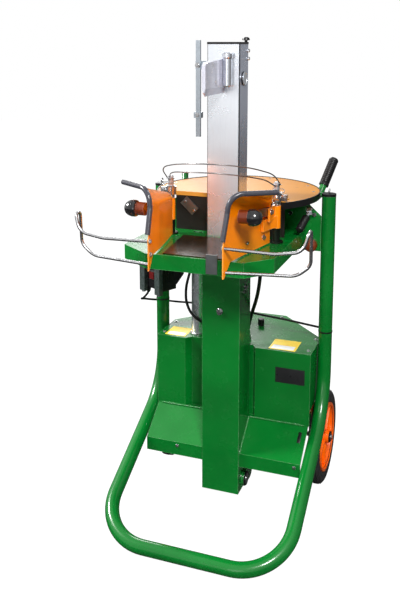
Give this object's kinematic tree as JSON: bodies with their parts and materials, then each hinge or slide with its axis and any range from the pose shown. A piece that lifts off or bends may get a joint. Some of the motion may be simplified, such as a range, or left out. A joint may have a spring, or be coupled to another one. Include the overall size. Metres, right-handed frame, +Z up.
{
  "type": "log splitter",
  "caption": "Upright hydraulic log splitter: two-hand arms hold the log on a table while a ram drives a knife down; tube frame on two wheels",
  "frame": {"origin": "on the floor, on the axis of the square guide column, which is within 10 mm of the centre of the footprint", "axes": "+X to the right seen from the operator's side, -Y towards the operator, +Z up"},
  "size_m": [0.7469, 0.8441, 1.642],
  "materials": {
    "green_paint": "gloss green powder coat",
    "orange_paint": "gloss orange powder coat",
    "maroon_paint": "dark red-brown paint",
    "galvanised": "bright galvanised steel",
    "zinc": "zinc plated, shiny",
    "bare_steel": "ground steel",
    "dark_steel": "worn blackened steel",
    "tyre_rubber": "black tyre rubber",
    "orange_plastic": "moulded orange plastic",
    "black_plastic": "moulded black plastic",
    "gloss_black": "gloss black plastic",
    "grey_rubber": "grey rubber edging",
    "hose_rubber": "black hose cover",
    "board": "orange-yellow coated board",
    "grey_plastic": "grey moulded plastic",
    "red_plastic": "red push button",
    "green_plastic": "green push button",
    "pad_plastic": "slide pad plastic",
    "label_film": "blank printed film",
    "cast_parts": "cast iron"
  },
  "bodies": {
    "frame": {"apron": "dark_steel", "arm_pins": "zinc", "axle": "zinc", "base_tray": "green_paint", "blank_plates": "label_film", "bow_wires": "bare_steel", "cables": "hose_rubber", "column": "green_paint", "cross_plate": "green_paint", "cylinder_barrel": "cast_parts", "dipstick": "black_plastic", "fittings": "zinc", "foot_pin": "zinc", "frame_tube": "green_paint", "guide_pads": "pad_plastic", "guide_tube": "galvanised", "handle_grips": "black_plastic", "hoses": "hose_rubber", "housing": "green_paint", "log_rest": "board", "motor": "cast_parts", "pin_clamps": "zinc", "pump": "cast_parts", "rest_frame": "green_paint", "rest_rim": "black_plastic", "steel_tabs": "galvanised", "switch_box": "black_plastic", "switch_bracket": "green_paint", "switch_strips": "grey_plastic", "table_tray": "green_paint", "tube_caps": "black_plastic", "valve_block": "cast_parts", "wear_plate": "dark_steel"},
    "ram": {"ram_column": "galvanised", "ram_trims": "black_plastic", "knife": "bare_steel", "knife_sleeve": "bare_steel", "stroke_rod": "galvanised", "piston_rod": "bare_steel"},
    "left_arm_body": {"left_shield": "orange_paint", "left_trim": "grey_rubber", "left_arm": "orange_paint", "left_hoop": "zinc"},
    "right_arm_body": {"right_shield": "orange_paint", "right_trim": "grey_rubber", "right_arm": "orange_paint", "right_hoop": "zinc"},
    "left_lever_body": {"left_lever": "maroon_paint", "left_grip": "gloss_black"},
    "right_lever_body": {"right_lever": "maroon_paint", "right_grip": "gloss_black"},
    "left_wheel": {"left_tyre": "tyre_rubber", "left_rim": "orange_plastic"},
    "right_wheel": {"right_tyre": "tyre_rubber", "right_rim": "orange_plastic"},
    "on_switch": {"on_button": "green_plastic"},
    "off_switch": {"off_button": "red_plastic"},
    "inlet_cover": {"inlet_lid": "black_plastic"},
    "side_lever": {"lever_rod": "bare_steel", "lever_grip": "black_plastic"}
  },
  "joints": [
    {"name": "ram_stroke", "type": "slide", "parent": "frame", "child": "ram", "axis": [0, 0, -1], "range_m": [0, 0.43]},
    {"name": "left_arm_swing", "type": "hinge", "parent": "frame", "child": "left_arm_body", "pos_m": [-0.185, -0.05, 1.05], "axis": [0, 0, 1], "range_deg": [-14, 6]},
    {"name": "right_arm_swing", "type": "hinge", "parent": "frame", "child": "right_arm_body", "pos_m": [0.185, -0.05, 1.05], "axis": [0, 0, -1], "range_deg": [-14, 6]},
    {"name": "left_lever_press", "type": "hinge", "parent": "left_arm_body", "child": "left_lever_body", "pos_m": [-0.175, -0.112, 1.094], "axis": [1, 0, 0], "range_deg": [0, 8], "stiffness_Nm_per_rad": 30, "springref_deg": -11.46},
    {"name": "right_lever_press", "type": "hinge", "parent": "right_arm_body", "child": "right_lever_body", "pos_m": [0.175, -0.112, 1.094], "axis": [1, 0, 0], "range_deg": [0, 8], "stiffness_Nm_per_rad": 30, "springref_deg": -11.46},
    {"name": "left_wheel_spin", "type": "hinge", "parent": "frame", "child": "left_wheel", "pos_m": [-0.296, 0.252, 0.172], "axis": [1, 0, 0], "continuous": true},
    {"name": "right_wheel_spin", "type": "hinge", "parent": "frame", "child": "right_wheel", "pos_m": [0.296, 0.252, 0.172], "axis": [1, 0, 0], "continuous": true},
    {"name": "on_press", "type": "slide", "parent": "frame", "child": "on_switch", "axis": [0.454, 0.891, 0], "range_m": [0, 0.003], "stiffness_N_per_m": 400, "springref_m": -0.001},
    {"name": "off_press", "type": "slide", "parent": "frame", "child": "off_switch", "axis": [0.454, 0.891, 0], "range_m": [0, 0.003], "stiffness_N_per_m": 400, "springref_m": -0.001},
    {"name": "inlet_cover_lift", "type": "hinge", "parent": "frame", "child": "inlet_cover", "pos_m": [-0.3072, 0.05964, 0.7685], "axis": [-0.891, 0.454, 0], "range_deg": [0, 80]},
    {"name": "side_lever_turn", "type": "hinge", "parent": "frame", "child": "side_lever", "pos_m": [0.252, 0.147, 1.05], "axis": [1, 0, 0], "range_deg": [-25, 6]}
  ]
}
